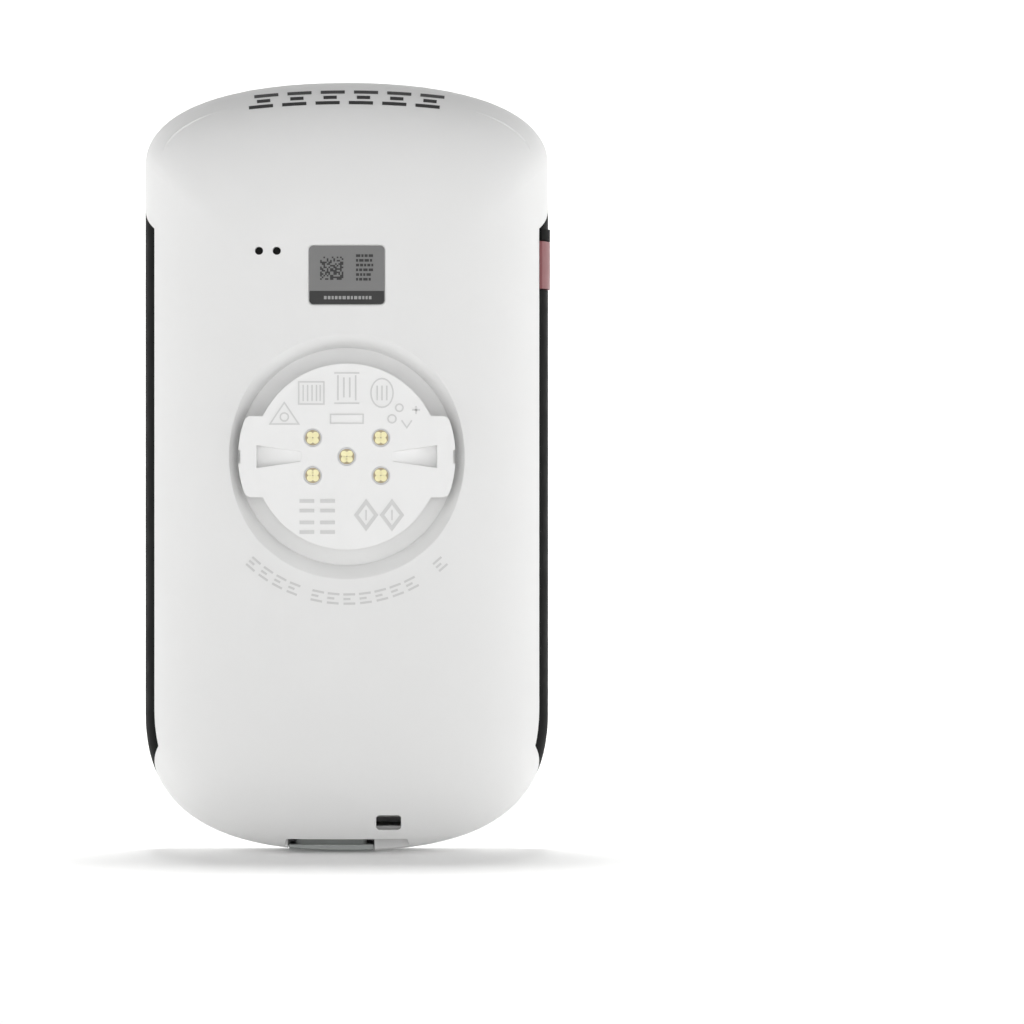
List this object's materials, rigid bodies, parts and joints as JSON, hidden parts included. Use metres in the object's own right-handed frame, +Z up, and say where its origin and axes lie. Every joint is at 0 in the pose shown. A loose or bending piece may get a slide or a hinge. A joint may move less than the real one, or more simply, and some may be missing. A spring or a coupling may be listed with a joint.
{
  "type": "cycling computer",
  "caption": "Handlebar cycling computer with rounded white back, quarter-turn mounting disc with gold contacts, red side key, front keys and charging-port cover.",
  "frame": {"origin": "centre of the outer face of the quarter-turn disc on the back", "axes": "+Z up along the case's length, +Y out through the display, +X to the right as seen from behind"},
  "size_m": [0.0559, 0.0179, 0.106],
  "materials": {
    "white_plastic": "fine satin moulding texture",
    "black_plastic": "satin, fine grain",
    "red_plastic": "satin",
    "grey_rubber": "matte",
    "black_rubber": "matte",
    "key_rubber": "matte with printed marks",
    "cover_glass": "clear, black border printed inside",
    "lcd_glass": "dark when off",
    "backlight_film": "white diffuser",
    "tape_black": "foam tape",
    "steel": "stamped and turned",
    "gold": "gold plate, slightly dull",
    "board_green": "solder mask",
    "chip_black": "moulded package",
    "connector_plastic": "unfilled nylon",
    "ceramic": "silver-faced ceramic",
    "flex_amber": "polyimide film",
    "battery_wrap": "foil pouch",
    "label_grey": "printed film",
    "wire_red": "wire insulation",
    "membrane": "expanded film"
  },
  "bodies": {
    "case": {"rear_shell": "white_plastic", "front_frame": "black_plastic", "chin_bezel": "white_plastic", "mount_insert": "white_plastic", "insert_seal": "black_rubber", "insert_backplate": "steel", "insert_screws": "steel", "contact_pads": "gold", "contact_seal": "black_rubber", "contact_board": "board_green", "contact_flex": "flex_amber", "contact_connector": "connector_plastic", "cover_glass": "cover_glass", "glass_tape": "tape_black", "touch_sensor": "lcd_glass", "lcd_panel": "lcd_glass", "backlight": "backlight_film", "display_chassis": "steel", "display_connector": "connector_plastic", "display_flex": "flex_amber", "main_board": "board_green", "board_screws": "steel", "gnss_antenna": "ceramic", "wireless_module": "steel", "wireless_antenna": "flex_amber", "buzzer": "chip_black", "barometer": "steel", "processor_shield": "steel", "processor": "chip_black", "memory_chip": "chip_black", "power_chip": "chip_black", "inductors": "chip_black", "battery_pad": "tape_black", "battery": "battery_wrap", "battery_board": "board_green", "battery_connector": "connector_plastic", "battery_lead": "wire_red", "usb_port": "steel", "usb_tongue": "chip_black", "usb_seal": "black_rubber", "weather_cap_pin": "steel", "power_key_seal": "black_rubber", "power_switch": "chip_black", "start_switch": "chip_black", "lap_switch": "chip_black", "chin_key_seal": "black_rubber", "case_seal": "black_rubber", "case_screws": "steel", "rating_label": "label_grey", "vent_membrane": "membrane"},
    "power_button": {"power_key": "red_plastic", "power_switch_plunger": "connector_plastic"},
    "lap_button": {"lap_key": "key_rubber", "lap_switch_plunger": "connector_plastic"},
    "start_button": {"start_key": "key_rubber", "start_switch_plunger": "connector_plastic"},
    "port_cover": {"weather_cap": "grey_rubber"}
  },
  "joints": [
    {"name": "power_press", "type": "slide", "parent": "case", "child": "power_button", "axis": [-1, 0, 0], "range_m": [0, 0.00035], "stiffness_N_per_m": 4000},
    {"name": "lap_press", "type": "slide", "parent": "case", "child": "lap_button", "axis": [0, -1, 0], "range_m": [0, 0.00035], "stiffness_N_per_m": 4000},
    {"name": "start_press", "type": "slide", "parent": "case", "child": "start_button", "axis": [0, -1, 0], "range_m": [0, 0.00035], "stiffness_N_per_m": 4000},
    {"name": "cover_swing", "type": "hinge", "parent": "case", "child": "port_cover", "pos_m": [-0.00215, 0.01485, -0.05385], "axis": [1, 0, 0], "range_deg": [0, 90]}
  ]
}
